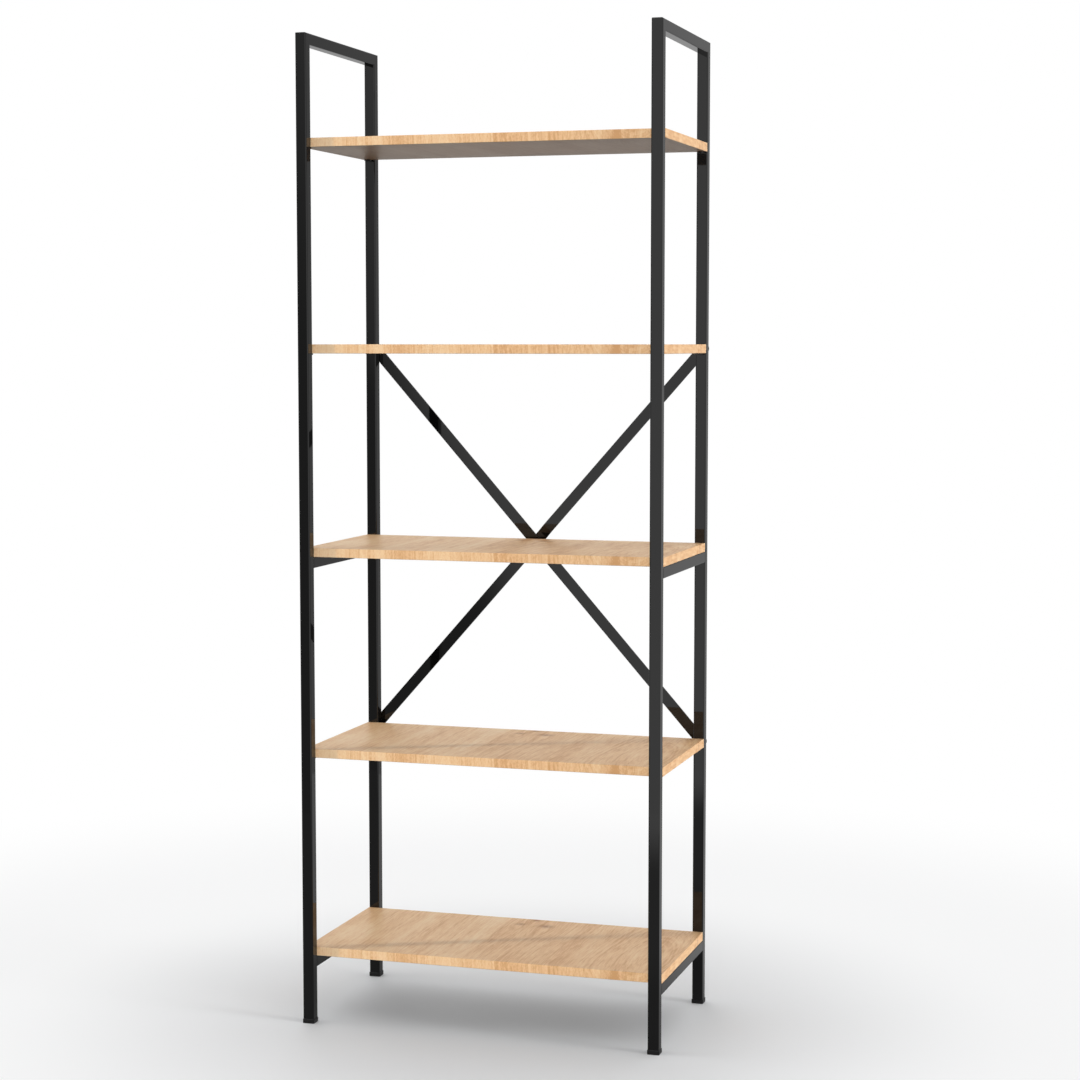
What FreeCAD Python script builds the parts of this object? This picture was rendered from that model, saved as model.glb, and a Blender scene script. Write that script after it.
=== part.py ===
import FreeCAD, Part
import os
import re

import Sketcher

# Open shelving unit: two welded side frames of square steel tube, five boards between them
# and a flat-bar X-brace across the back. X runs along the boards, Y from front to back, Z up.
# The origin is on the floor, in the middle of the space that the whole unit takes up.

# Driving dimensions in millimetres
SIZES = {
    # Side frames
    "frame_height": 1760,
    "frame_width": 660,
    "frame_depth": 350,
    "tube_size": 20,
    "tube_wall": 1.2,
    "tube_corner": 2,
    "bore_corner": 0.8,
    # Boards and their heights
    "board_thickness": 16,
    "board_gap": 1,
    "board_edge_round": 0.8,
    "bottom_bar_height": 100,
    "top_shelf_drop": 180,
    # Feet, plugged into the uprights
    "foot_lip": 1,
    "foot_height": 8,
    "foot_corner": 2.5,
    "foot_chamfer": 0.8,
    "foot_sole_round": 0.6,
    "plug_height": 18,
    "plug_gap": 0.15,
    "plug_wall": 2,
    # Tabs welded to the uprights under the corners of a board
    "tab_width": 12,
    "tab_reach": 16,
    "tab_thickness": 2.5,
    "tab_corner": 5,
    "tab_screw_inset": 10,
    "sink_depth": 1.8,
    # Wood screws that hold the boards down
    "screw_diameter": 4,
    "screw_head": 8,
    "screw_head_rim": 0.8,
    "screw_head_dome": 1.6,
    "screw_bite": 12,
    "screw_point": 4,
    "crossbar_screw_inset": 40,
    "driver_gap": 1.5,
    "recess_span": 4.4,
    "recess_width": 1.1,
    "recess_depth": 1.2,
    # Clearances on the diameter of a hole
    "through_gap": 0.4,
    "thread_gap": 0.1,
    # Brace bars
    "bar_width": 20,
    "bar_thickness": 3,
    "joggle_run": 15,
    # Bolts, rivet nuts and rivet of the brace
    "bolt_diameter": 6,
    "bolt_head": 10.5,
    "bolt_head_rim": 1,
    "bolt_head_dome": 2.3,
    "socket_width": 4,
    "socket_depth": 2,
    "nut_diameter": 9,
    "nut_collar": 12,
    "nut_collar_height": 3,
    "nut_length": 11,
    "rivet_diameter": 5,
    "rivet_head": 9.5,
    "rivet_head_rim": 0.5,
    "rivet_head_dome": 1.5,
}

# Shelves from the floor up, with what carries the corners of each board
SHELVES = ("bottom", "lower", "middle", "upper", "top")
CROSSBAR_SHELVES = ("bottom", "middle")
TAB_SHELVES = ("lower", "upper", "top")

# The two sides and the two uprights of each side, as signs along X and Y
SIDES = {"left": "-", "right": ""}
ENDS = {"front": "-", "rear": ""}

# Places that several pieces share, worked out from the driving dimensions
BOLT_STACK = "(bar_thickness + bolt_head_rim + bolt_head_dome)"
RIVET_STACK = "(2 * bar_thickness + rivet_head_rim + rivet_head_dome)"
FRAME_MIDDLE = f"((foot_lip - max({BOLT_STACK}; {RIVET_STACK}; foot_lip)) / 2)"
REAR_FACE = f"({FRAME_MIDDLE} + frame_depth / 2)"
UPRIGHT_X = "((frame_width - tube_size) / 2)"
UPRIGHT_Y = "((frame_depth - tube_size) / 2)"
INNER_FACE_Y = "(frame_depth / 2 - tube_size)"
BORE_SIZE = "(tube_size - 2 * tube_wall)"
PLUG_SIZE = f"({BORE_SIZE} - 2 * plug_gap)"
UPRIGHT_LENGTH = "(frame_height - foot_height)"
CROSSBAR_LENGTH = f"(2 * {INNER_FACE_Y})"
BOARD_DEPTH = f"(2 * {INNER_FACE_Y} - 2 * board_gap)"
BOTTOM_UNDERSIDE = "(bottom_bar_height + tube_size)"
TOP_UNDERSIDE = "(frame_height - top_shelf_drop - board_thickness)"
SHELF_PITCH = f"(({TOP_UNDERSIDE} - {BOTTOM_UNDERSIDE}) / {len(SHELVES) - 1})"

# Axes, and the sketch's own numbering of its origin and of the points of a line or circle
ALONG_X = FreeCAD.Vector(1, 0, 0)
ALONG_Y = FreeCAD.Vector(0, 1, 0)
ALONG_Z = FreeCAD.Vector(0, 0, 1)
SKETCH_ORIGIN = (-1, 1)
START_INDEX = 1
END_INDEX = 2
CENTRE_INDEX = 3
QUARTER_TURN = 90
HALF_TURN = 180
FULL_TURN = 360
HEXAGON_SIDES = 6
RECESS_ARMS = 4
TOUCH = 0.0001

doc = FreeCAD.newDocument("ShelvingUnit")
sheet = doc.addObject("Spreadsheet::Sheet", "Sizes")
for row, (name, number) in enumerate(SIZES.items(), 1):
    sheet.set(f"A{row}", name)
    sheet.set(f"B{row}", str(number))
    sheet.setAlias(f"B{row}", name)
doc.recompute()

nodes = []


def sized(text):
    """An expression with the sheet's name written before each size"""
    return re.sub(r"[a-z_]+", lambda word: "Sizes." + word[0] if word[0] in SIZES else word[0], text)


def value(text):
    """The present value of an expression"""
    return float(sheet.evalExpression(sized(text).replace("Sizes.", "")))


def underside(shelf):
    """Height of a shelf's lower face"""
    return f"({BOTTOM_UNDERSIDE} + {SHELVES.index(shelf)} * {SHELF_PITCH})"


def board_middle(shelf):
    """Height of the middle of a board's thickness"""
    return f"({underside(shelf)} + board_thickness / 2)"


def new_body(label):
    body = doc.addObject("PartDesign::Body", label)
    body.Label = label
    return body


def new_sketch(body, role, height="0"):
    """A sketch on one of the body's own planes, moved along the plane's normal"""
    sketch = body.newObject("Sketcher::SketchObject", f"{body.Name}_outline")
    plane = next(feature for feature in body.Origin.OriginFeatures if feature.Role == role)
    sketch.AttachmentSupport = [(plane, "")]
    sketch.MapMode = "FlatFace"
    sketch.setExpression("AttachmentOffset.Base.z", sized(height))
    return sketch


def hold(sketch, constraint, text):
    """Add a constraint and bind its value to an expression"""
    index = sketch.addConstraint(constraint)
    sketch.setExpression(f"Constraints[{index}]", sized(text))


def hold_point(sketch, element, point, x, y):
    """Hold a point of the sketch by its two distances from the origin"""
    for kind, text in (("DistanceX", x), ("DistanceY", y)):
        distance = Sketcher.Constraint(kind, *SKETCH_ORIGIN, element, point, value(text))
        hold(sketch, distance, text)


def draw_outline(sketch, corners):
    """A closed outline of straight lines through corners given as pairs of expressions"""
    points = [FreeCAD.Vector(value(x), value(y), 0) for x, y in corners]
    first = sketch.GeometryCount
    for start, end in zip(points, points[1:] + points[:1]):
        sketch.addGeometry(Part.LineSegment(start, end), False)
    for step, (x, y) in enumerate(corners):
        line = first + step
        following = first + (step + 1) % len(corners)
        joined = Sketcher.Constraint("Coincident", line, END_INDEX, following, START_INDEX)
        sketch.addConstraint(joined)
        hold_point(sketch, line, START_INDEX, x, y)


def draw_rectangle(sketch, width, depth):
    """A rectangle centred on the sketch's origin"""
    half_x = f"{width} / 2"
    half_y = f"{depth} / 2"
    low_x = f"-{half_x}"
    low_y = f"-{half_y}"
    draw_outline(sketch, [(low_x, low_y), (half_x, low_y), (half_x, half_y), (low_x, half_y)])


def draw_circle(sketch, x, y, diameter):
    centre = FreeCAD.Vector(value(x), value(y), 0)
    element = sketch.addGeometry(Part.Circle(centre, ALONG_Z, value(diameter) / 2), False)
    hold_point(sketch, element, CENTRE_INDEX, x, y)
    hold(sketch, Sketcher.Constraint("Diameter", element, value(diameter)), diameter)


def add_pad(body, sketch, length, reverse=False, both_ways=False):
    """Thicken a sketch along its plane's normal, against it, or half each way"""
    pad = body.newObject("PartDesign::Pad", f"{body.Name}_pad")
    pad.Profile = sketch
    pad.Refine = True
    pad.Reversed = reverse
    pad.SideType = "Symmetric" if both_ways else "One side"
    pad.setExpression("Length", sized(length))
    doc.recompute()
    return pad


def add_pocket(body, sketch, length, reverse=False, both_ways=False):
    """Cut a sketch into the body and make sure that it removed something"""
    before = body.Shape.Volume
    pocket = body.newObject("PartDesign::Pocket", f"{body.Name}_pocket")
    pocket.Profile = sketch
    pocket.Reversed = reverse
    pocket.SideType = "Symmetric" if both_ways else "One side"
    pocket.setExpression("Length", sized(length))
    doc.recompute()
    if body.Shape.Volume >= before - TOUCH:
        raise ValueError(f"{body.Label}: a cut removed nothing")
    return pocket


def add_revolution(body, sketch):
    """Turn a half profile about the sketch's upright axis"""
    turned = body.newObject("PartDesign::Revolution", f"{body.Name}_turned")
    turned.Profile = sketch
    turned.ReferenceAxis = (sketch, ["V_Axis"])
    turned.Angle = FULL_TURN
    doc.recompute()
    return turned


def edges_of(feature, wanted):
    """Names of the feature's edges whose boxes pass a test"""
    edges = enumerate(feature.Shape.Edges, 1)
    return [f"Edge{number}" for number, edge in edges if wanted(edge.BoundBox)]


def is_upright(box):
    return box.XLength + box.YLength < TOUCH


def is_level(box, height):
    return box.ZLength < TOUCH and abs(box.ZMin - height) < TOUCH


def is_about(box, x, y):
    return abs(box.Center.x - x) + abs(box.Center.y - y) < TOUCH


def is_within(box, half_width):
    reach = max(abs(box.XMin), abs(box.XMax), abs(box.YMin), abs(box.YMax))
    return reach < half_width + TOUCH


def add_fillet(body, feature, edges, radius):
    fillet = body.newObject("PartDesign::Fillet", f"{body.Name}_fillet")
    fillet.Base = (feature, edges)
    fillet.setExpression("Radius", sized(radius))
    doc.recompute()
    return fillet


def add_chamfer(body, feature, edges, size):
    chamfer = body.newObject("PartDesign::Chamfer", f"{body.Name}_chamfer")
    chamfer.Base = (feature, edges)
    chamfer.setExpression("Size", sized(size))
    doc.recompute()
    return chamfer


def place(piece, x, y, z, axis=ALONG_Z, angle=0):
    """Turn a piece about an axis and bind its place to expressions"""
    piece.Placement = FreeCAD.Placement(FreeCAD.Vector(), FreeCAD.Rotation(axis, angle))
    for letter, text in zip("xyz", (x, y, z)):
        piece.setExpression(f"Placement.Base.{letter}", sized(text))


def keep(piece):
    """Count a piece among those that are written out"""
    nodes.append(piece)


def make_tube(label, length, mitred_start=False, mitred_end=False):
    """A square tube along Z; a mitre leaves its -Y face the longest"""
    body = new_body(label)
    section = new_sketch(body, "XY_Plane")
    draw_rectangle(section, "tube_size", "tube_size")
    pad = add_pad(body, section, length)
    add_fillet(body, pad, edges_of(pad, is_upright), "tube_corner")
    bore = new_sketch(body, "XY_Plane")
    draw_rectangle(bore, BORE_SIZE, BORE_SIZE)
    hollow = add_pocket(body, bore, length, reverse=True)
    half_bore = value(BORE_SIZE) / 2
    corners = edges_of(hollow, lambda box: is_upright(box) and is_within(box, half_bore))
    add_fillet(body, hollow, corners, "bore_corner")
    cuts = []
    if mitred_start:
        cuts.append(("-tube_size / 2", "tube_size + tube_size / 2"))
    if mitred_end:
        cuts.append((f"{length} + tube_size / 2", f"{length} - tube_size - tube_size / 2"))
    if cuts:
        wedges = new_sketch(body, "YZ_Plane")
        for far, near in cuts:
            draw_outline(wedges, [("-tube_size", far), ("tube_size", far), ("tube_size", near)])
        add_pocket(body, wedges, "2 * tube_size", both_ways=True)
    return body


def make_upright(side, end):
    """A corner post: mitred into the top rail, open below for the foot's plug"""
    body = make_tube(f"{side}_{end}_upright", UPRIGHT_LENGTH, mitred_end=True)
    if end == "rear":
        holes = new_sketch(body, "XZ_Plane")
        for shelf in ("lower", "upper"):
            draw_circle(holes, "0", f"{board_middle(shelf)} - foot_height", "nut_diameter + thread_gap")
        add_pocket(body, holes, "tube_size", reverse=True)
    turn = HALF_TURN if end == "rear" else 0
    middle_y = f"{FRAME_MIDDLE} + {ENDS[end]}{UPRIGHT_Y}"
    place(body, SIDES[side] + UPRIGHT_X, middle_y, "foot_height", angle=turn)
    keep(body)


def make_top_rail(side):
    """The rail that closes a side frame, mitred at both ends"""
    body = make_tube(f"{side}_top_rail", "frame_depth", mitred_start=True, mitred_end=True)
    start = f"{FRAME_MIDDLE} - frame_depth / 2"
    place(body, SIDES[side] + UPRIGHT_X, start, "frame_height - tube_size / 2", ALONG_X, -QUARTER_TURN)
    keep(body)


def make_crossbar(side, shelf):
    """A bar under a board's end, bored above for its two screws and wider below to let a driver in"""
    body = make_tube(f"{side}_{shelf}_crossbar", CROSSBAR_LENGTH)
    holes = new_sketch(body, "XZ_Plane")
    access = new_sketch(body, "XZ_Plane")
    for along in ("crossbar_screw_inset", f"{CROSSBAR_LENGTH} - crossbar_screw_inset"):
        draw_circle(holes, "0", along, "screw_diameter + through_gap")
        draw_circle(access, "0", along, "screw_head + driver_gap")
    add_pocket(body, holes, "tube_size", reverse=True)
    add_pocket(body, access, "tube_size")
    start = f"{FRAME_MIDDLE} - {INNER_FACE_Y}"
    place(body, SIDES[side] + UPRIGHT_X, start, f"{underside(shelf)} - tube_size / 2", ALONG_X, -QUARTER_TURN)
    keep(body)


def screw_inset(shelf):
    """How far a board's screws stand from the uprights' inner faces"""
    return "crossbar_screw_inset" if shelf in CROSSBAR_SHELVES else "tab_screw_inset"


def make_shelf(shelf):
    """A board with eased edges and a blind hole from below for each screw"""
    body = new_body(f"{shelf}_shelf")
    face = new_sketch(body, "XY_Plane")
    draw_rectangle(face, "frame_width", BOARD_DEPTH)
    board = add_pad(body, face, "board_thickness")
    every_edge = edges_of(board, lambda box: True)
    add_fillet(body, board, every_edge, "board_edge_round")
    holes = new_sketch(body, "XY_Plane")
    for side in SIDES.values():
        for end in ENDS.values():
            along = f"{end}({INNER_FACE_Y} - {screw_inset(shelf)})"
            draw_circle(holes, side + UPRIGHT_X, along, "screw_diameter + thread_gap")
    add_pocket(body, holes, "screw_bite + thread_gap", reverse=True)
    place(body, "0", FRAME_MIDDLE, underside(shelf))
    keep(body)


def make_foot(side, end):
    """A square cap under an upright, with a hollow plug that fills the tube's end"""
    body = new_body(f"{side}_{end}_foot")
    sole = new_sketch(body, "XY_Plane")
    draw_rectangle(sole, "(tube_size + 2 * foot_lip)", "(tube_size + 2 * foot_lip)")
    flange = add_pad(body, sole, "foot_height")
    rounded = add_fillet(body, flange, edges_of(flange, is_upright), "foot_corner")
    rim = edges_of(rounded, lambda box: is_level(box, value("foot_height")))
    bevelled = add_chamfer(body, rounded, rim, "foot_chamfer")
    sole_edges = edges_of(bevelled, lambda box: is_level(box, 0))
    add_fillet(body, bevelled, sole_edges, "foot_sole_round")
    plug = new_sketch(body, "XY_Plane", "foot_height")
    draw_rectangle(plug, PLUG_SIZE, PLUG_SIZE)
    stem = add_pad(body, plug, "plug_height")
    half_plug = value(PLUG_SIZE) / 2
    corners = edges_of(stem, lambda box: is_upright(box) and is_within(box, half_plug))
    add_fillet(body, stem, corners, "bore_corner")
    hollow = new_sketch(body, "XY_Plane", "foot_height")
    draw_rectangle(hollow, f"({PLUG_SIZE} - 2 * plug_wall)", f"({PLUG_SIZE} - 2 * plug_wall)")
    add_pocket(body, hollow, "plug_height", reverse=True)
    place(body, SIDES[side] + UPRIGHT_X, f"{FRAME_MIDDLE} + {ENDS[end]}{UPRIGHT_Y}", "0")
    keep(body)


def make_tab(side, end, shelf):
    """A plate on an upright's inner face, its top against the board"""
    body = new_body(f"{side}_{end}_{shelf}_tab")
    plate = new_sketch(body, "XY_Plane")
    left = "-tab_width / 2"
    right = "tab_width / 2"
    draw_outline(plate, [(left, "0"), (right, "0"), (right, "tab_reach"), (left, "tab_reach")])
    pad = add_pad(body, plate, "tab_thickness", reverse=True)
    reach = value("tab_reach")
    free_corners = edges_of(pad, lambda box: is_upright(box) and box.YMin > reach - TOUCH)
    add_fillet(body, pad, free_corners, "tab_corner")
    hole = new_sketch(body, "XY_Plane")
    draw_circle(hole, "0", "tab_screw_inset", "screw_diameter + through_gap")
    bored = add_pocket(body, hole, "tab_thickness")
    lower_face = value("-tab_thickness")
    inset = value("tab_screw_inset")
    rim = edges_of(bored, lambda box: is_level(box, lower_face) and is_about(box, 0, inset))
    add_chamfer(body, bored, rim, "sink_depth")
    turn = HALF_TURN if end == "rear" else 0
    inner_face = f"{FRAME_MIDDLE} + {ENDS[end]}{INNER_FACE_Y}"
    place(body, SIDES[side] + UPRIGHT_X, inner_face, underside(shelf), angle=turn)
    keep(body)


def make_headed(label, head, rim, dome, shank, length, point="0"):
    """A fastener along Z: its head below 0, its shank above, with an optional point"""
    body = new_body(label)
    profile = new_sketch(body, "XZ_Plane")
    head_bottom = f"-({rim} + {dome})"
    corners = [("0", head_bottom), (f"{head} / 2", head_bottom), (f"{head} / 2", "0"), (f"{shank} / 2", "0")]
    if point == "0":
        corners += [(f"{shank} / 2", length), ("0", length)]
    else:
        corners += [(f"{shank} / 2", f"{length} - {point}"), ("0", length)]
    draw_outline(profile, corners)
    turned = add_revolution(body, profile)
    height = value(head_bottom)
    rounding = edges_of(turned, lambda box: is_level(box, height))
    add_fillet(body, turned, rounding, dome)
    return body


def cut_recess(body, height):
    """A cross recess, cut upwards into a screw's head"""
    recess = new_sketch(body, "XY_Plane", height)
    arm = "recess_span / 2"
    side = "recess_width / 2"
    quarter = [(arm, f"-{side}"), (arm, side), (side, side)]
    corners = []
    for arm_number in range(RECESS_ARMS):
        corners += quarter
        quarter = [(f"-({y})", x) for x, y in quarter]
    draw_outline(recess, corners)
    add_pocket(body, recess, "recess_depth", reverse=True)


def make_crossbar_screw(label):
    """A pan-head wood screw that passes through a crossbar's upper wall before it bites the board"""
    length = "(tube_wall + screw_bite)"
    body = make_headed(
        label, "screw_head", "screw_head_rim", "screw_head_dome", "screw_diameter", length, "screw_point"
    )
    cut_recess(body, "-(screw_head_rim + screw_head_dome)")
    return body


def make_tab_screw(label):
    """A countersunk wood screw, its head flush with the lower face of the tab"""
    body = new_body(label)
    profile = new_sketch(body, "XZ_Plane")
    length = "(tab_thickness + screw_bite)"
    shank = "(screw_diameter / 2)"
    head = f"({shank} + sink_depth + (through_gap - thread_gap) / 2)"
    corners = [("0", "0"), (head, "0"), (shank, f"{head} - {shank}")]
    corners += [(shank, f"{length} - screw_point"), ("0", length)]
    draw_outline(profile, corners)
    add_revolution(body, profile)
    cut_recess(body, "0")
    return body


def make_bolt(label):
    """A button-head bolt with a hexagon socket, as long as its bar and nut together"""
    length = "(bar_thickness + nut_length)"
    body = make_headed(label, "bolt_head", "bolt_head_rim", "bolt_head_dome", "bolt_diameter", length)
    socket = new_sketch(body, "XY_Plane", "-(bolt_head_rim + bolt_head_dome)")
    step = FULL_TURN / HEXAGON_SIDES
    to_corner = f"socket_width / 2 / cos({step / 2})"
    turns = [step * number for number in range(HEXAGON_SIDES)]
    draw_outline(socket, [(f"{to_corner} * cos({turn})", f"{to_corner} * sin({turn})") for turn in turns])
    add_pocket(body, socket, "socket_depth", reverse=True)
    return body


def make_nut(label):
    """A set rivet nut: flush in the wall's hole, its crimped collar behind the wall"""
    body = new_body(label)
    profile = new_sketch(body, "XZ_Plane")
    inner = "(bolt_diameter + thread_gap) / 2"
    outer = "nut_diameter / 2"
    collar = "nut_collar / 2"
    behind = "tube_wall + nut_collar_height"
    corners = [(inner, "0"), (outer, "0"), (outer, "tube_wall"), (collar, "tube_wall"), (collar, behind)]
    corners += [(outer, behind), (outer, "nut_length"), (inner, "nut_length")]
    draw_outline(profile, corners)
    add_revolution(body, profile)
    return body


def make_rivet():
    """The rivet through both bars where they cross, with a dome on each side"""
    stack = "(2 * bar_thickness)"
    body = new_body("brace_rivet")
    profile = new_sketch(body, "XZ_Plane")
    head_height = "(rivet_head_rim + rivet_head_dome)"
    lower_end = f"-{head_height}"
    upper_end = f"{stack} + {head_height}"
    head = "rivet_head / 2"
    shank = "rivet_diameter / 2"
    corners = [("0", lower_end), (head, lower_end), (head, "0"), (shank, "0"), (shank, stack), (head, stack)]
    corners += [(head, upper_end), ("0", upper_end)]
    draw_outline(profile, corners)
    turned = add_revolution(body, profile)
    ends = (value(lower_end), value(upper_end))
    rims = edges_of(turned, lambda box: any(is_level(box, height) for height in ends))
    add_fillet(body, turned, rims, "rivet_head_dome")
    place(body, "0", REAR_FACE, BRACE_MIDDLE, ALONG_X, -QUARTER_TURN)
    keep(body)


# The brace's bolts stand on the rear uprights' middles, level with the middle of a board
BRACE_TOP = board_middle("upper")
BRACE_FOOT = board_middle("lower")
BRACE_MIDDLE = f"(({BRACE_TOP} + {BRACE_FOOT}) / 2)"
BRACE_RISE = f"({BRACE_TOP} - {BRACE_FOOT})"
BRACE_SPAN = f"(2 * {UPRIGHT_X})"
HALF_BAR = f"(hypot({BRACE_SPAN}; {BRACE_RISE}) / 2)"


def finish_bar(body, slope):
    """Round a bar's ends about its bolt holes, bore it and set it across the back"""
    tips = new_sketch(body, "XZ_Plane")
    for along in (f"-{HALF_BAR}", HALF_BAR):
        draw_circle(tips, along, "0", "bar_width")
    add_pad(body, tips, "bar_thickness", reverse=True)
    holes = new_sketch(body, "XZ_Plane")
    for along in (f"-{HALF_BAR}", HALF_BAR):
        draw_circle(holes, along, "0", "bolt_diameter + through_gap")
    draw_circle(holes, "0", "0", "rivet_diameter + thread_gap")
    add_pocket(body, holes, "2 * bar_thickness")
    place(body, "0", REAR_FACE, BRACE_MIDDLE, ALONG_Y, QUARTER_TURN)
    body.setExpression("Placement.Rotation.Angle", sized(f"{slope}atan({BRACE_RISE} / {BRACE_SPAN})"))
    keep(body)


def make_falling_bar():
    """The straight bar, from the upper left to the lower right"""
    body = new_body("falling_brace_bar")
    strip = new_sketch(body, "XZ_Plane")
    draw_rectangle(strip, f"(2 * {HALF_BAR})", "bar_width")
    add_pad(body, strip, "bar_thickness", reverse=True)
    finish_bar(body, "")


def make_rising_bar():
    """The other bar, which steps back by its own thickness to pass behind the first"""
    body = new_body("rising_brace_bar")
    side_view = new_sketch(body, "XY_Plane")
    crest = "bar_width"
    foot = "(bar_width + joggle_run)"
    bend = "bar_thickness * tan(atan(bar_thickness / joggle_run) / 2)"
    near_face = [(HALF_BAR, "0"), (foot, "0"), (crest, "bar_thickness")]
    far_face = [
        (HALF_BAR, "bar_thickness"),
        (f"{foot} + {bend}", "bar_thickness"),
        (f"{crest} + {bend}", "2 * bar_thickness"),
    ]
    near_mirrored = [(f"-({x})", y) for x, y in reversed(near_face)]
    far_mirrored = [(f"-({x})", y) for x, y in reversed(far_face)]
    draw_outline(side_view, near_face + near_mirrored + far_mirrored[::-1] + far_face[::-1])
    add_pad(body, side_view, "bar_width", both_ways=True)
    finish_bar(body, "-")


def make_group(label, original, places, axis=ALONG_Z, angle=0):
    """Copies of one fastener at several places, kept together as one group"""
    copies = []
    for number, (x, y, z) in enumerate(places, 1):
        copy = doc.addObject("App::Link", f"{label}_{number}")
        copy.LinkedObject = original
        place(copy, x, y, z, axis, angle)
        copies.append(copy)
    group = doc.addObject("Part::Compound", label)
    group.Label = label
    group.Links = copies
    doc.recompute()
    keep(group)


def corner_places(shelf, drop):
    """Where a board's four screws go, with their heads a drop below the board"""
    height = f"{underside(shelf)} - {drop}"
    inset = f"({INNER_FACE_Y} - {screw_inset(shelf)})"
    sides = SIDES.values()
    ends = ENDS.values()
    return [(side + UPRIGHT_X, f"{FRAME_MIDDLE} + {end}{inset}", height) for side in sides for end in ends]


for side in SIDES:
    make_top_rail(side)
    for end in ENDS:
        make_upright(side, end)
        make_foot(side, end)
        for shelf in TAB_SHELVES:
            make_tab(side, end, shelf)
    for shelf in CROSSBAR_SHELVES:
        make_crossbar(side, shelf)

tab_screw = make_tab_screw("tab_screw")
crossbar_screw = make_crossbar_screw("crossbar_screw")
for shelf in SHELVES:
    make_shelf(shelf)
    if shelf in CROSSBAR_SHELVES:
        make_group(f"{shelf}_shelf_screws", crossbar_screw, corner_places(shelf, "tube_wall"))
    else:
        make_group(f"{shelf}_shelf_screws", tab_screw, corner_places(shelf, "tab_thickness"))

make_falling_bar()
make_rising_bar()
make_rivet()
brace_ends = [(side + UPRIGHT_X, level) for side in SIDES.values() for level in (BRACE_FOOT, BRACE_TOP)]
bolt_places = [(x, f"{REAR_FACE} + bar_thickness", z) for x, z in brace_ends]
nut_places = [(x, REAR_FACE, z) for x, z in brace_ends]
make_group("brace_bolts", make_bolt("brace_bolt"), bolt_places, ALONG_X, QUARTER_TURN)
make_group("brace_rivet_nuts", make_nut("rivet_nut"), nut_places, ALONG_X, QUARTER_TURN)

doc.recompute()
for item in doc.Objects:
    if "Invalid" in item.State or "Error" in item.State:
        raise ValueError(f"{item.Label} did not build")
for node in nodes:
    if node.Shape.isNull() or not node.Shape.isValid():
        raise ValueError(f"{node.Label} has no valid shape")

os.makedirs("parts", exist_ok=True)
for node in nodes:
    node.Shape.exportStep(f"parts/{node.Label}.step")
print(len(nodes), "pieces written")
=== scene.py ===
import math

import bmesh
import bpy
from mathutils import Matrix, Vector


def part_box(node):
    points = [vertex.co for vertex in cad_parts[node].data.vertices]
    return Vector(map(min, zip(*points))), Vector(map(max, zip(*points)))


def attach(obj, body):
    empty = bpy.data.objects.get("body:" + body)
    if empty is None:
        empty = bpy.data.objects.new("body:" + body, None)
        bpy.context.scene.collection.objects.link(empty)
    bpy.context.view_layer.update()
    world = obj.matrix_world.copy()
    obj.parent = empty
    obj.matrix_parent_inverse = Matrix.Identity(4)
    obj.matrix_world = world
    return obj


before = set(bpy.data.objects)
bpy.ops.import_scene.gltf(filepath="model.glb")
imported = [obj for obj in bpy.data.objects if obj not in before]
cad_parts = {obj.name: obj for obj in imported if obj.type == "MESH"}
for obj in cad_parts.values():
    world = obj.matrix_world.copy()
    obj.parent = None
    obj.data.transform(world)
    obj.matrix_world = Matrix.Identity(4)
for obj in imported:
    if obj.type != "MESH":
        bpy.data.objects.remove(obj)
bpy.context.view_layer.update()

# Finishes, weld seams, studio and camera for an open shelving unit: black square-tube side frames,
# five pale wooden boards and a flat-bar X-brace. Lengths are in metres, in the part's own frame:
# X along the boards, Y from front to back, Z up from the floor.

SHELVES = ("bottom", "lower", "middle", "upper", "top")
CROSSBAR_SHELVES = ("bottom", "middle")
TAB_SHELVES = ("lower", "upper", "top")
SIDES = ("left", "right")
ENDS = ("front", "rear")
MILLIMETRE = 0.001

scene = bpy.context.scene


def tone(red, green, blue):
    """A colour given by its screen values from 0 to 255, as a shader takes it"""
    channels = []
    for screen in (red, green, blue):
        share = screen / 255
        channels.append(share / 12.92 if share <= 0.04045 else ((share + 0.055) / 1.055) ** 2.4)
    return (*channels, 1.0)


def grey(share):
    """A neutral colour of a given brightness"""
    return (share, share, share, 1.0)


# Node trees

# Kinds of group socket
NUMBER = "NodeSocketFloat"
COLOUR = "NodeSocketColor"
# A mix node keeps its colour sockets behind those for numbers and vectors
FIRST_COLOUR = 6
SECOND_COLOUR = 7
MIXED_COLOUR = 2


def add_node(tree, kind, inputs=None, **settings):
    """A node with its settings made, and its inputs set to values or wired to outputs"""
    made = tree.nodes.new(kind)
    for name, setting in settings.items():
        setattr(made, name, setting)
    for name, wanted in (inputs or {}).items():
        if isinstance(wanted, bpy.types.NodeSocket):
            tree.links.new(wanted, made.inputs[name])
        else:
            made.inputs[name].default_value = wanted
    return made


def compute(tree, operation, *values):
    """The result of a math node"""
    inputs = dict(enumerate(values))
    return add_node(tree, "ShaderNodeMath", inputs, operation=operation).outputs[0]


def total(tree, first, *others):
    """Values added together"""
    for other in others:
        first = compute(tree, "ADD", first, other)
    return first


def product(tree, first, *others):
    """Values multiplied together"""
    for other in others:
        first = compute(tree, "MULTIPLY", first, other)
    return first


def plus(tree, base, value, weight):
    """A base with a weighted value added to it"""
    return compute(tree, "MULTIPLY_ADD", value, weight, base)


def offset(tree, value, origin):
    """How far a value lies beyond an origin"""
    return compute(tree, "SUBTRACT", value, origin)


def centred(tree, noise):
    """Noise from 0 to 1, made to swing about 0"""
    return offset(tree, noise, 0.5)


def distance(tree, first, second):
    """The length of a vector of two parts"""
    return compute(tree, "SQRT", plus(tree, product(tree, second, second), first, first))


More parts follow.
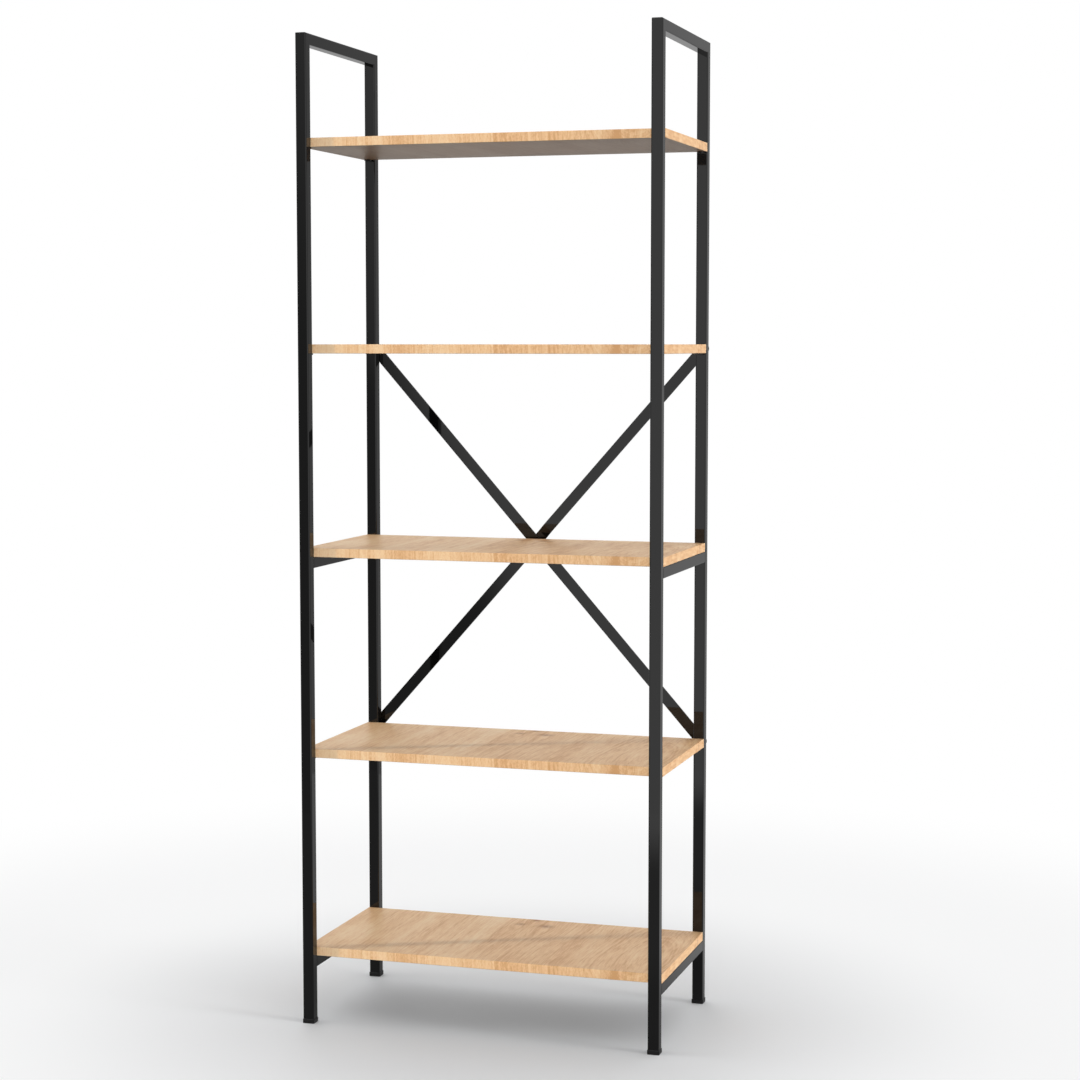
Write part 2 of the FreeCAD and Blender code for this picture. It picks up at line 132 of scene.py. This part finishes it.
def spread(tree, value, low, high, start=0.0, end=1.0, easing="LINEAR"):
    """A value carried from one range to another and held inside it"""
    inputs = {"Value": value, "From Min": low, "From Max": high, "To Min": start, "To Max": end}
    return add_node(tree, "ShaderNodeMapRange", inputs, interpolation_type=easing).outputs["Result"]


def ease(tree, value, low, high, start=0.0, end=1.0):
    """A value carried smoothly from one range to another and held inside it"""
    return spread(tree, value, low, high, start, end, easing="SMOOTHSTEP")


def bell(tree, away, reach):
    """A smooth rise to 1 where an offset is 0, gone beyond about twice the reach"""
    share = compute(tree, "DIVIDE", away, reach)
    return compute(tree, "EXPONENT", product(tree, share, share, -1.0))


def vector_of(tree, x, y, z):
    """A vector of three parts"""
    return add_node(tree, "ShaderNodeCombineXYZ", {"X": x, "Y": y, "Z": z}).outputs["Vector"]


def parts_of(tree, vector):
    """The three parts of a vector"""
    return add_node(tree, "ShaderNodeSeparateXYZ", {"Vector": vector}).outputs


def place_on(tree):
    """The three parts of a place on the object, in its own frame"""
    return parts_of(tree, tree.nodes.new("ShaderNodeTexCoord").outputs["Object"])


def surface_facts(tree):
    """What the geometry node tells about a point"""
    return tree.nodes.new("ShaderNodeNewGeometry").outputs


def cloud(tree, place, sizes, detail=2.0, roughness=0.5):
    """Noise whose patches have a size of their own along each axis"""
    parts = (compute(tree, "DIVIDE", part, size) for part, size in zip(place, sizes))
    inputs = {"Vector": vector_of(tree, *parts)}
    inputs |= {"Scale": 1.0, "Detail": detail, "Roughness": roughness}
    return add_node(tree, "ShaderNodeTexNoise", inputs).outputs["Fac"]


def even_cloud(tree, size, detail=2.0, roughness=0.5):
    """Noise on the object whose patches have one size in all directions"""
    return cloud(tree, place_on(tree), (size, size, size), detail, roughness)


def mix_values(tree, share, first, second):
    """Two numbers mixed by a share"""
    inputs = {"Factor": share, "A": first, "B": second}
    return add_node(tree, "ShaderNodeMix", inputs).outputs[0]


def mix_colours(tree, share, first, second):
    """Two colours mixed by a share"""
    inputs = {"Factor": share, FIRST_COLOUR: first, SECOND_COLOUR: second}
    return add_node(tree, "ShaderNodeMix", inputs, data_type="RGBA").outputs[MIXED_COLOUR]


def mix_shaders(tree, share, first, second):
    """Two shaders mixed by a share"""
    return add_node(tree, "ShaderNodeMixShader", {0: share, 1: first, 2: second}).outputs[0]


def ray_masks(tree):
    """Where a ray comes straight from the camera, and where it comes by way of a gloss"""
    path = tree.nodes.new("ShaderNodeLightPath").outputs
    shine = compute(tree, "MAXIMUM", path["Is Glossy Ray"], path["Is Transmission Ray"])
    return path["Is Camera Ray"], shine


def new_group(name, inputs, outputs):
    """An empty shader group with named sockets, and the sockets of its two end nodes"""
    group = bpy.data.node_groups.new(name, "ShaderNodeTree")
    for socket, start in inputs.items():
        made = group.interface.new_socket(socket, in_out="INPUT", socket_type=NUMBER)
        made.default_value = start
    for socket, kind in outputs.items():
        group.interface.new_socket(socket, in_out="OUTPUT", socket_type=kind)
    given = group.nodes.new("NodeGroupInput").outputs
    return group, given, group.nodes.new("NodeGroupOutput").inputs


def use_group(tree, group, **values):
    """A group placed in a tree with its own values, and its outputs"""
    placed = add_node(tree, "ShaderNodeGroup", node_tree=group)
    for name, wanted in values.items():
        placed.inputs[name.replace("_", " ").title()].default_value = wanted
    return placed.outputs


# Effects that several finishes share

EDGE_SAMPLES = 6
# How well a rounded normal agrees with the flat one: off an edge, and on it
EDGE_AGREEMENT = (0.995, 0.90)
# Levels of the noise between which a patch of wear or of sheen comes in
WEAR_LEVELS = (0.38, 0.66)
SHEEN_LEVELS = (0.32, 0.68)


def make_edge_wear():
    """A mask along outer edges, broken up so that it comes and goes"""
    group, given, result = new_group(
        "Edge wear", {"Radius": 0.001, "Patch Size": 0.02, "Amount": 0.5}, {"Wear": NUMBER}
    )
    bevel = add_node(group, "ShaderNodeBevel", {"Radius": given["Radius"]}, samples=EDGE_SAMPLES)
    normals = {0: bevel.outputs["Normal"], 1: surface_facts(group)["Normal"]}
    agreement = add_node(group, "ShaderNodeVectorMath", normals, operation="DOT_PRODUCT")
    edge = ease(group, agreement.outputs["Value"], *EDGE_AGREEMENT)
    patches = even_cloud(group, given["Patch Size"], detail=4.0, roughness=0.65)
    broken = ease(group, patches, *WEAR_LEVELS)
    group.links.new(product(group, edge, broken, given["Amount"]), result["Wear"])
    return group


def make_fine_texture():
    """A fine even grain, with a sheen that changes from patch to patch"""
    group, given, result = new_group(
        "Fine texture",
        {"Grain Size": 0.001, "Patch Size": 0.05, "Smoothest": 0.1, "Roughest": 0.2},
        {"Height": NUMBER, "Roughness": NUMBER},
    )
    grain = even_cloud(group, given["Grain Size"])
    patches = even_cloud(group, given["Patch Size"], detail=4.0, roughness=0.6)
    sheen = spread(group, patches, *SHEEN_LEVELS, given["Smoothest"], given["Roughest"])
    group.links.new(grain, result["Height"])
    group.links.new(sheen, result["Roughness"])
    return group


# The boards are clad alike, in staves whose grain runs from front to back. Places on a board are
# metres from its middle. Staves and bands shift the shade of the wood: up is darker, down is paler.

# Stave edges: place, and shift beyond it
STAVE_EDGES = ((-0.193, -0.03), (-0.038, 0.09), (0.112, -0.05), (0.226, 0.02))
# Bands along the grain: place, reach and shift
BANDS = (
    (-0.190, 0.011, -0.10),
    (-0.152, 0.030, 0.04),
    (-0.062, 0.014, -0.10),
    (0.025, 0.006, -0.08),
    (0.034, 0.002, 0.10),
    (0.129, 0.013, 0.10),
)
# Bands on the front edge alone, the first of them a painted shade beside the left front upright,
# and its pale left end
FRONT_GRAIN_AND_SHADE_BANDS = (
    # painted shade next to the left front upright
    (-0.303, 0.009, 0.14),
    (-0.246, 0.018, -0.08),
    (-0.152, 0.019, 0.10),
    (0.241, 0.008, 0.20),
)
PALE_END = -0.266
PALE_END_SHIFT = -0.20
# A pale patch: place along X and Y, and reach along X and Y
PALE_PATCH = (-0.284, -0.020, 0.032, 0.075)
PALE_PATCH_SHIFT = -0.12

# The grain sways from side to side
SWAY_SIZES = (0.14, 0.30, 1.0)
SWAY = 0.026
# Knots: place along X and Y, and radius. The grain parts round each of them, over a reach that is
# counted in radii
KNOTS = (
    (-0.010, 0.108, 0.009),
    (0.041, 0.105, 0.014),
    (0.011, 0.143, 0.008),
    (0.336, 0.109, 0.007),
)
KNOT_LENGTH = 0.8
PARTING = -0.7
PARTING_WIDTH = 2.0
PARTING_LENGTH = 5.0
RAG_SIZES = (0.008, 0.009, 0.006)
RAG_LEVELS = (0.28, 0.50)

# Growth rings, about a heart that slants through the board
RING_WIDTH = 0.0055
RING_WEIGHT = 0.30
HEART_X = 0.275
HEART_Y = -0.045
HEART_TILT = 0.26
HEART_REACH = 0.06
HEART_WEIGHT = 0.14

# The grain starts anew in each stave, and climbs towards the back
STAVE_JUMP = 0.41
GRAIN_CLIMB = 0.05
# Patterns of the grain: sizes across, along and through the board, and weight in the shade
PATTERNS = {
    "streaks": {"sizes": (0.014, 0.55, 0.4), "detail": 4.0, "roughness": 0.65},
    "lines": {"sizes": (0.0036, 0.30, 0.05), "detail": 3.0, "roughness": 0.6},
    "flecks": {"sizes": (0.0024, 0.032, 0.0045)},
    "fibres": {"sizes": (0.0009, 0.03, 0.05)},
    "mottle": {"sizes": (0.05, 0.12, 0.10), "detail": 3.0},
    "patches": {"sizes": (0.020, 0.040, 0.030), "detail": 3.0},
    "pores": {"sizes": (0.0010, 0.012, 0.006), "detail": 1.0},
}
WEIGHTS = {
    "streaks": 0.36,
    "lines": 0.36,
    "flecks": 0.42,
    "fibres": 0.30,
    "mottle": 0.36,
    "patches": 0.22,
}
PORE_LEVELS = (0.60, 0.74)

# Colours, their places on the scale of shades, and the shares of those laid over them
LIGHT_WOOD = tone(245, 212, 171)
MIDDLE_WOOD = tone(236, 194, 148)
DARK_WOOD = tone(213, 163, 115)
KNOT_WOOD = tone(150, 84, 48)
# Painted shade: the boards' undersides take a darker, greyer colour that stands in for the dim
# light they get
PAINTED_UNDERSIDE_SHADE = tone(141, 130, 119)
SHADES = (-0.5, 0.5)
LIGHT_PLACE = 0.30
MIDDLE_PLACE = 0.5
DARK_PLACE = 0.70
PORE_SHARE = 0.4
KNOT_SHARE = 0.72
UNDERSIDE_SHADE_SHARE = 0.75
# Parts of the normal between which a face stops being a front edge or an underside with painted
# shade
FACING = (-0.7, -0.3)

ROUGHNESS_SHADES = (-0.35, 0.35)
WOOD_ROUGHNESS = (0.40, 0.50)
PORE_HEIGHT = -0.6
FIBRE_HEIGHT = 0.5


def part_grain(group, x, y, depth):
    """Places across the grain, which sways and parts round the knots, and a mask of the knots"""
    sway = cloud(group, (x, y, 0.0), SWAY_SIZES, detail=3.0)
    across = plus(group, x, centred(group, sway), SWAY)
    knots = 0.0
    for knot_x, knot_y, radius in KNOTS:
        side = offset(group, x, knot_x)
        along = offset(group, y, knot_y)
        near_side = bell(group, side, PARTING_WIDTH * radius)
        near_end = bell(group, along, PARTING_LENGTH * radius)
        across = plus(group, across, product(group, side, near_side, near_end), PARTING)
        round_side = bell(group, side, radius)
        round_end = bell(group, along, KNOT_LENGTH * radius)
        knots = compute(group, "MAXIMUM", knots, product(group, round_side, round_end))
    rag = cloud(group, (x, y, depth), RAG_SIZES, detail=4.0, roughness=0.65)
    return across, product(group, knots, spread(group, rag, *RAG_LEVELS))


def grow_rings(group, across, y, depth):
    """Rings that draw arches on the board's faces, and their weight, greatest near the heart"""
    from_heart = offset(group, across, HEART_X)
    slant = plus(group, depth, offset(group, y, HEART_Y), HEART_TILT)
    ring = compute(group, "DIVIDE", distance(group, from_heart, slant), RING_WIDTH)
    inputs = {"W": ring, "Scale": 1.0, "Detail": 3.0, "Roughness": 0.6}
    rings = add_node(group, "ShaderNodeTexNoise", inputs, noise_dimensions="1D").outputs["Fac"]
    return rings, plus(group, RING_WEIGHT, bell(group, from_heart, HEART_REACH), HEART_WEIGHT)


def add_bands(group, shade, across, bands):
    """A shade with bands along the grain added to it"""
    for middle, reach, shift in bands:
        shade = plus(group, shade, bell(group, offset(group, across, middle), reach), shift)
    return shade


def past_edge(group, x, edge, before=0.0, after=1.0):
    """A sharp change from one value to another at an edge between staves"""
    return spread(group, x, edge - MILLIMETRE, edge + MILLIMETRE, before, after)


def shade_staves(group, x, y, across, front):
    """The shade of staves and bands, with a painted shade beside the left front upright, and a
    count of the staves from the left
    """
    pale_end = past_edge(group, x, PALE_END, PALE_END_SHIFT, 0.0)
    shade = product(group, add_bands(group, pale_end, across, FRONT_GRAIN_AND_SHADE_BANDS), front)
    patch_x, patch_y, reach_x, reach_y = PALE_PATCH
    patch = bell(group, offset(group, x, patch_x), reach_x)
    patch = product(group, patch, bell(group, offset(group, y, patch_y), reach_y))
    shade = plus(group, shade, patch, PALE_PATCH_SHIFT)
    stave = 0.0
    for edge, shift in STAVE_EDGES:
        step = past_edge(group, x, edge)
        shade = plus(group, shade, step, shift)
        stave = total(group, stave, step)
    return add_bands(group, shade, across, BANDS), stave


def colour_wood(group, shade):
    """The colour of a shade of wood"""
    ramp = add_node(group, "ShaderNodeValToRGB", {"Fac": spread(group, shade, *SHADES)})
    stops = ramp.color_ramp.elements
    stops[0].color = LIGHT_WOOD
    stops[1].color = DARK_WOOD
    stops.new(MIDDLE_PLACE).color = MIDDLE_WOOD
    stops[0].position = LIGHT_PLACE
    stops[2].position = DARK_PLACE
    return ramp.outputs["Color"]


def make_wood_figure():
    """Staves, bands, growth rings, streaks, knots and pores of one board, with painted shade on its
    underside and beside the left front upright
    """
    group, given, result = new_group(
        "Wood figure",
        {"Middle Height": 0.5},
        {"Colour": COLOUR, "Roughness": NUMBER, "Height": NUMBER},
    )
    x, y, z = place_on(group)
    depth = offset(group, z, given["Middle Height"])
    normal = parts_of(group, surface_facts(group)["Normal"])
    front = spread(group, normal["Y"], *FACING, 1.0, 0.0)
    # Painted shade on faces that look down
    under_shade = spread(group, normal["Z"], *FACING, UNDERSIDE_SHADE_SHARE, 0.0)

    across, knots = part_grain(group, x, y, depth)
    shade, stave = shade_staves(group, x, y, across, front)
    rings, ring_weight = grow_rings(group, across, y, depth)
    shade = plus(group, shade, centred(group, rings), ring_weight)
    place = (across, plus(group, y, stave, STAVE_JUMP), plus(group, depth, y, GRAIN_CLIMB))
    grain = {name: cloud(group, place, **pattern) for name, pattern in PATTERNS.items()}
    for name, weight in WEIGHTS.items():
        shade = plus(group, shade, centred(group, grain[name]), weight)
    pores = spread(group, grain["pores"], *PORE_LEVELS)

    colour = colour_wood(group, shade)
    colour = mix_colours(group, product(group, pores, PORE_SHARE), colour, DARK_WOOD)
    colour = mix_colours(group, product(group, knots, KNOT_SHARE), colour, KNOT_WOOD)
    # Painted shade: the underside is darkened and greyed
    colour = mix_colours(group, under_shade, colour, PAINTED_UNDERSIDE_SHADE)
    roughness = spread(group, shade, *ROUGHNESS_SHADES, *WOOD_ROUGHNESS)
    height = plus(group, product(group, grain["fibres"], FIBRE_HEIGHT), pores, PORE_HEIGHT)
    group.links.new(colour, result["Colour"])
    group.links.new(roughness, result["Roughness"])
    group.links.new(height, result["Height"])
    return group


edge_wear = make_edge_wear()
fine_texture = make_fine_texture()
wood_figure = make_wood_figure()


# Finishes

# The coat of each material slot: its colours on faces and on worn edges, its skin, the wear along
# its edges with the roughness that this adds, and its relief
COATS = {
    # Glossy powder coat, thinner and greyer along its edges
    "frame_black": {
        "name": "Black powder coat",
        "colours": (grey(0.0012), grey(0.035)),
        "skin": {"grain_size": 0.0035, "patch_size": 0.09, "smoothest": 0.02, "roughest": 0.045},
        "wear": {"radius": 0.0010, "patch_size": 0.012, "amount": 0.12},
        "worn_roughness": 0.25,
        "relief": {"strength": 0.008, "depth": 0.2 * MILLIMETRE},
    },
    # Moulded plastic with a fine spark-eroded grain
    "foot_plastic": {
        "name": "Black moulded plastic",
        "colours": (grey(0.004), grey(0.03)),
        "skin": {"grain_size": 0.0005, "patch_size": 0.02, "smoothest": 0.3, "roughest": 0.42},
        "wear": {"radius": 0.0008, "patch_size": 0.006, "amount": 0.5},
        "worn_roughness": 0.2,
        "relief": {"strength": 0.15, "depth": 0.05 * MILLIMETRE},
    },
    # Plating, bright where a driver has rubbed its edges
    "fastener_black": {
        "name": "Black zinc plating",
        "colours": (grey(0.035), grey(0.35)),
        "skin": {"grain_size": 0.0006, "patch_size": 0.006, "smoothest": 0.24, "roughest": 0.4},
        "wear": {"radius": 0.0004, "patch_size": 0.003, "amount": 0.6},
        "relief": {"strength": 0.08, "depth": 0.05 * MILLIMETRE},
        "metallic": 1.0,
    },
    # Yellowish plating of the rivet nuts
    "zinc_steel": {
        "name": "Zinc plating",
        "colours": (tone(196, 190, 170), tone(228, 226, 220)),
        "skin": {"grain_size": 0.0008, "patch_size": 0.004, "smoothest": 0.28, "roughest": 0.46},
        "wear": {"radius": 0.0004, "patch_size": 0.003, "amount": 0.6},
        "relief": {"strength": 0.08, "depth": 0.05 * MILLIMETRE},
        "metallic": 1.0,
    },
}
BOARD_WEAR = {"radius": 0.0012, "patch_size": 0.03, "amount": 0.4}
BOARD_RELIEF = {"strength": 0.12, "depth": 0.15 * MILLIMETRE}


def new_finish(name):
    """A material, its node tree and its shader"""
    finish = bpy.data.materials.new(name)
    finish.use_nodes = True
    return finish, finish.node_tree, finish.node_tree.nodes["Principled BSDF"]


def emboss(tree, shader, height, strength, depth):
    """Raise a pattern on the surface"""
    inputs = {"Height": height, "Strength": strength, "Distance": depth}
    bump = add_node(tree, "ShaderNodeBump", inputs)
    tree.links.new(bump.outputs["Normal"], shader.inputs["Normal"])


def make_coat(name, colours, skin, wear, relief, worn_roughness=None, metallic=0.0):
    """A coat with a fine grain, changed in colour, and maybe in sheen, where its edges are worn"""
    finish, tree, shader = new_finish(name)
    texture = use_group(tree, fine_texture, **skin)
    worn = use_group(tree, edge_wear, **wear)["Wear"]
    roughness = texture["Roughness"]
    if worn_roughness:
        roughness = plus(tree, roughness, worn, worn_roughness)
    tree.links.new(mix_colours(tree, worn, *colours), shader.inputs["Base Color"])
    tree.links.new(roughness, shader.inputs["Roughness"])
    shader.inputs["Metallic"].default_value = metallic
    emboss(tree, shader, texture["Height"], **relief)
    return finish


def make_board_finish(shelf):
    """Pale oiled wood with a painted darker shade on its underside, rubbed a little lighter along
    its eased edges
    """
    finish, tree, shader = new_finish(f"Pale wood {shelf} board")
    low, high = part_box(f"{shelf}_shelf")
    wood = use_group(tree, wood_figure, middle_height=(low.z + high.z) / 2)
    rubbed = use_group(tree, edge_wear, **BOARD_WEAR)["Wear"]
    colour = mix_colours(tree, rubbed, wood["Colour"], LIGHT_WOOD)
    tree.links.new(colour, shader.inputs["Base Color"])
    tree.links.new(wood["Roughness"], shader.inputs["Roughness"])
    emboss(tree, shader, wood["Height"], **BOARD_RELIEF)
    return finish


slot_finishes = {slot: make_coat(**coat) for slot, coat in COATS.items()}
board_finishes = {f"{shelf}_shelf": make_board_finish(shelf) for shelf in SHELVES}
for name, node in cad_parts.items():
    for slot in node.material_slots:
        slot.material = board_finishes.get(name) or slot_finishes[slot.material.name]


# Weld seams

BEAD_STEPS = 36
BEAD_CORNERS = 10
BEAD_TAPER = 3.0
BEAD_TIP = 0.08
RIPPLE_HEIGHT = 0.10
RIPPLE_LENGTH = 0.0014
# The margin that a seam leaves at each end, and its radius
CROSSBAR_SEAM = (0.0022, 0.0008)
TAB_SEAM = (0.0008, 0.0009)


def add_bead(mesh, start, end, radius):
    """A rippled seam that tapers off at both ends"""
    axis = end - start
    along = axis.normalized()
    up = Vector((0.0, 0.0, 1.0))
    out = along.cross(up)
    rings = []
    for step in range(BEAD_STEPS + 1):
        share = step / BEAD_STEPS
        taper = min(1.0, math.sin(math.pi * share) * BEAD_TAPER)
        wave = math.cos(share * 2 * math.pi * axis.length / RIPPLE_LENGTH)
        size = radius * max(BEAD_TIP, taper ** 0.5) * (1.0 + RIPPLE_HEIGHT * wave)
        middle = start + axis * share
        ring = []
        for corner in range(BEAD_CORNERS):
            turn = 2 * math.pi * corner / BEAD_CORNERS
            spoke = out * math.cos(turn) + up * math.sin(turn)
            ring.append(mesh.verts.new(middle + spoke * size))
        rings.append(ring)
    for first, second in zip(rings, rings[1:]):
        for corner in range(BEAD_CORNERS):
            after = (corner + 1) % BEAD_CORNERS
            mesh.faces.new((first[corner], first[after], second[after], second[corner]))
    mesh.faces.new(rings[0][::-1])
    mesh.faces.new(rings[-1])


def make_welds(side):
    """Seams where crossbars and tabs meet the inner faces of one frame's uprights"""
    mesh = bmesh.new()
    for end in ENDS:
        post_low, post_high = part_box(f"{side}_{end}_upright")
        face_y = post_high.y if end == "front" else post_low.y
        seams = {f"{side}_{shelf}_crossbar": CROSSBAR_SEAM for shelf in CROSSBAR_SHELVES}
        seams |= {f"{side}_{end}_{shelf}_tab": TAB_SEAM for shelf in TAB_SHELVES}
        for piece, (margin, radius) in seams.items():
            low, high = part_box(piece)
            start = Vector((low.x + margin, face_y, low.z))
            add_bead(mesh, start, Vector((high.x - margin, face_y, low.z)), radius)
    bmesh.ops.recalc_face_normals(mesh, faces=mesh.faces)
    data = bpy.data.meshes.new(f"{side}_frame_welds")
    mesh.to_mesh(data)
    mesh.free()
    data.shade_smooth()
    data.materials.append(slot_finishes["frame_black"])
    welds = bpy.data.objects.new(f"{side}_frame_welds", data)
    scene.collection.objects.link(welds)
    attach(welds, "root")
    return welds


welds = [make_welds(side) for side in SIDES]


# Floor

FLOOR_REACH = 2.2
FLOOR_CORNERS = 128
FLOOR_COLOUR = (0.872, 0.88, 0.889, 1.0)
# Distances between which the floor turns white, and the share that each of them adds
FADES = ((0.38, 0.98, 0.64), (1.2, 2.15, 0.36))
# How bright the floor looks in the gloss, what its parts add to that, and where they change
FLOOR_GLOW = 0.27
FRONT_GLOW = 0.70
FRONT_GLOW_X = (-0.75, -0.45)
FRONT_GLOW_Y = (-2.1, -1.5)
BACK_GLOW = 0.19
BACK_GLOW_Y = (0.1, 0.6)
MIDDLE_GLOW = 0.09
MIDDLE_GLOW_X = (-0.6, 0.0)
MIDDLE_GLOW_Y = (-0.9, -0.5)
SHADE_GLOW = -0.08
SHADE_DISTANCE = (0.25, 0.45)
# Light that comes up from the floor, and down from above it
GROUND_LIGHT = 0.05
FILL_LIGHT = 0.46


def floor_glow(tree, x, y, away):
    """The brightness of the floor in the gloss"""
    front = ease(tree, y, *FRONT_GLOW_Y, FRONT_GLOW, 0.0)
    front = product(tree, front, ease(tree, x, *FRONT_GLOW_X))
    back = ease(tree, y, *BACK_GLOW_Y, 0.0, BACK_GLOW)
    middle = ease(tree, x, *MIDDLE_GLOW_X, 0.0, MIDDLE_GLOW)
    middle = product(tree, middle, ease(tree, y, *MIDDLE_GLOW_Y, 1.0, 0.0))
    shaded = ease(tree, away, *SHADE_DISTANCE, SHADE_GLOW, 0.0)
    return total(tree, front, back, middle, shaded, FLOOR_GLOW)


def make_floor():
    """A pale floor that keeps the unit's shadow, fades to white and is clear from below"""
    mesh = bpy.data.meshes.new("floor")
    turns = [2 * math.pi * corner / FLOOR_CORNERS for corner in range(FLOOR_CORNERS)]
    rim = [(FLOOR_REACH * math.cos(turn), FLOOR_REACH * math.sin(turn), 0.0) for turn in turns]
    mesh.from_pydata(rim, [], [range(FLOOR_CORNERS)])
    floor = bpy.data.objects.new("floor", mesh)
    scene.collection.objects.link(floor)
    finish, tree, shader = new_finish("Pale studio floor")
    tree.nodes.remove(shader)
    place = place_on(tree)
    x, y = place["X"], place["Y"]
    away = distance(tree, x, y)
    fade = total(tree, *(ease(tree, away, near, far, 0.0, share) for near, far, share in FADES))
    pale = add_node(tree, "ShaderNodeBsdfDiffuse", {"Color": FLOOR_COLOUR}).outputs[0]
    white = add_node(tree, "ShaderNodeEmission", {"Strength": 1.0}).outputs[0]
    seen = mix_shaders(tree, fade, pale, white)
    glow = {"Strength": floor_glow(tree, x, y, away)}
    mirrored = add_node(tree, "ShaderNodeEmission", glow).outputs[0]
    dim = add_node(tree, "ShaderNodeBsdfDiffuse", {"Color": grey(GROUND_LIGHT)}).outputs[0]
    direct, shine = ray_masks(tree)
    surface = mix_shaders(tree, direct, mix_shaders(tree, shine, dim, mirrored), seen)
    clear = add_node(tree, "ShaderNodeBsdfTransparent").outputs[0]
    surface = mix_shaders(tree, surface_facts(tree)["Backfacing"], surface, clear)
    tree.links.new(surface, tree.nodes["Material Output"].inputs["Surface"])
    mesh.materials.append(finish)
    return floor


# World, as directions from the unit. The gloss mirrors a bright panel in front, whose left edge
# leans: the lean, where the edge lies, and the light left beyond it
LOWER_PANEL = (-0.54, (0.360, 0.402), 0.235)
UPPER_PANEL = (-0.36, (0.290, 0.435), 0.22)
PANEL_SEAM = (-0.02, 0.005)
LEFT_WALL = (0.7, 1.2)
LEFT_WALL_LIGHT = 0.45
# Behind the unit: light on the left and on the right, and more of it low on the left
BACK_WALL = (0.20, 0.46)
BACK_WALL_LIGHT = (0.40, 0.30)
LOW_WALL = (0.0, 0.2)
LOW_WALL_HEIGHT = (-0.08, 0.02)
LOW_WALL_LIGHT = 0.14
FRONT_TO_BACK = (-0.2, 0.2)
HORIZON = (-0.05, 0.05)
# Keeps a division from running into nothing
LEAST = 0.001


def front_light(tree, x, y, z):
    """What the gloss mirrors in front of the unit"""
    forward = compute(tree, "MAXIMUM", product(tree, y, -1.0), LEAST)
    leftward = compute(tree, "DIVIDE", product(tree, x, -1.0), forward)
    panels = []
    for lean, edge, beyond in (LOWER_PANEL, UPPER_PANEL):
        panels.append(ease(tree, plus(tree, leftward, z, lean), *edge, 1.0, beyond))
    panel = mix_values(tree, ease(tree, z, *PANEL_SEAM), *panels)
    return total(tree, panel, ease(tree, leftward, *LEFT_WALL, 0.0, LEFT_WALL_LIGHT))


def back_light(tree, x, y, z):
    """What the gloss mirrors behind the unit"""
    rightward = compute(tree, "DIVIDE", x, compute(tree, "MAXIMUM", y, LEAST))
    wall = ease(tree, rightward, *BACK_WALL, *BACK_WALL_LIGHT)
    low = ease(tree, z, *LOW_WALL_HEIGHT, LOW_WALL_LIGHT, 0.0)
    return plus(tree, wall, low, spread(tree, rightward, *LOW_WALL, 1.0, 0.0))


def make_world():
    """White behind the unit, soft fill on it, and a studio for its gloss to mirror"""
    world = bpy.data.worlds.new("Studio")
    scene.world = world
    world.use_nodes = True
    tree = world.node_tree
    x, y, z = parts_of(tree, tree.nodes.new("ShaderNodeTexCoord").outputs["Generated"])
    front, back = front_light(tree, x, y, z), back_light(tree, x, y, z)
    mirrored = mix_values(tree, ease(tree, y, *FRONT_TO_BACK), front, back)
    fill = spread(tree, z, *HORIZON, GROUND_LIGHT, FILL_LIGHT)
    direct, shine = ray_masks(tree)
    strength = mix_values(tree, direct, mix_values(tree, shine, fill, mirrored), 1.0)
    background = tree.nodes["Background"].inputs
    tree.links.new(strength, background["Strength"])
    background["Color"].default_value = grey(1.0)


# Lamps: the way the light goes, its strength, and its width in degrees
SOFTBOXES = {
    "front softbox": ((-0.24, 0.95, -0.10), 1.32, 22.0),
    "right softbox": ((-0.985, 0.12, -0.085), 2.75, 15.0),
    "back softbox": ((0.45, -0.85, -0.25), 0.6, 30.0),
    "left softbox": ((0.95, 0.2, -0.20), 0.5, 22.0),
}
# Twin narrow beams, for which the left front upright shades a stripe of each board
KEYS = {
    "left key": ((0.8405, 0.4209, -0.34), 0.8, 0.3),
    "left key twin": ((0.8519, 0.3973, -0.34), 0.8, 0.3),
}
KEY_COLOUR = (1.0, 0.94, 0.82)
# A weak low lamp, which the boards alone mirror as a sheen
SHEEN_SOFTBOX = ((0.31, -0.94, -0.06), 0.145, 24.0)
SHEEN_COLOUR = (1.0, 0.95, 0.84)
# The floor's own lamp
FLOOR_SOFTBOX = ((0.12, -0.45, -1.0), 0.90, 125.0)
WHITE_LIGHT = (1.0, 1.0, 1.0)


def make_lamp(name, direction, strength, width, colour=WHITE_LIGHT, pieces=None, mirrored=False):
    """A far lamp as wide as an angle; it may light chosen pieces alone, and show in their gloss"""
    light = bpy.data.lights.new(name, "SUN")
    light.energy = strength
    light.color = colour
    light.angle = math.radians(width)
    lamp = bpy.data.objects.new(name, light)
    lamp.rotation_euler = Vector(direction).to_track_quat("-Z", "Y").to_euler()
    lamp.visible_glossy = mirrored
    scene.collection.objects.link(lamp)
    if pieces:
        lit = bpy.data.collections.new(f"{name} pieces")
        for piece in pieces:
            lit.objects.link(piece)
        lamp.light_linking.receiver_collection = lit


floor = make_floor()
make_world()
unit = [*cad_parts.values(), *welds]
boards = [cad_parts[f"{shelf}_shelf"] for shelf in SHELVES]
for name, softbox in SOFTBOXES.items():
    make_lamp(name, *softbox)
for name, key in KEYS.items():
    make_lamp(name, *key, KEY_COLOUR, unit)
make_lamp("sheen softbox", *SHEEN_SOFTBOX, SHEEN_COLOUR, boards, mirrored=True)
make_lamp("floor softbox", *FLOOR_SOFTBOX, pieces=[floor])

scene.view_settings.view_transform = "Standard"

# Camera at the photograph's viewing angle
CAMERA_PLACE = (1.2978, -4.0165, 1.2224)
CAMERA_YAW = 0.2986
CAMERA_PITCH = -0.0839
CAMERA_LENS = 78.30

lens = bpy.data.cameras.new("camera")
lens.lens = CAMERA_LENS
camera = bpy.data.objects.new("camera", lens)
camera.location = CAMERA_PLACE
camera.rotation_euler = (math.pi / 2 + CAMERA_PITCH, 0.0, CAMERA_YAW)
scene.collection.objects.link(camera)
scene.camera = camera
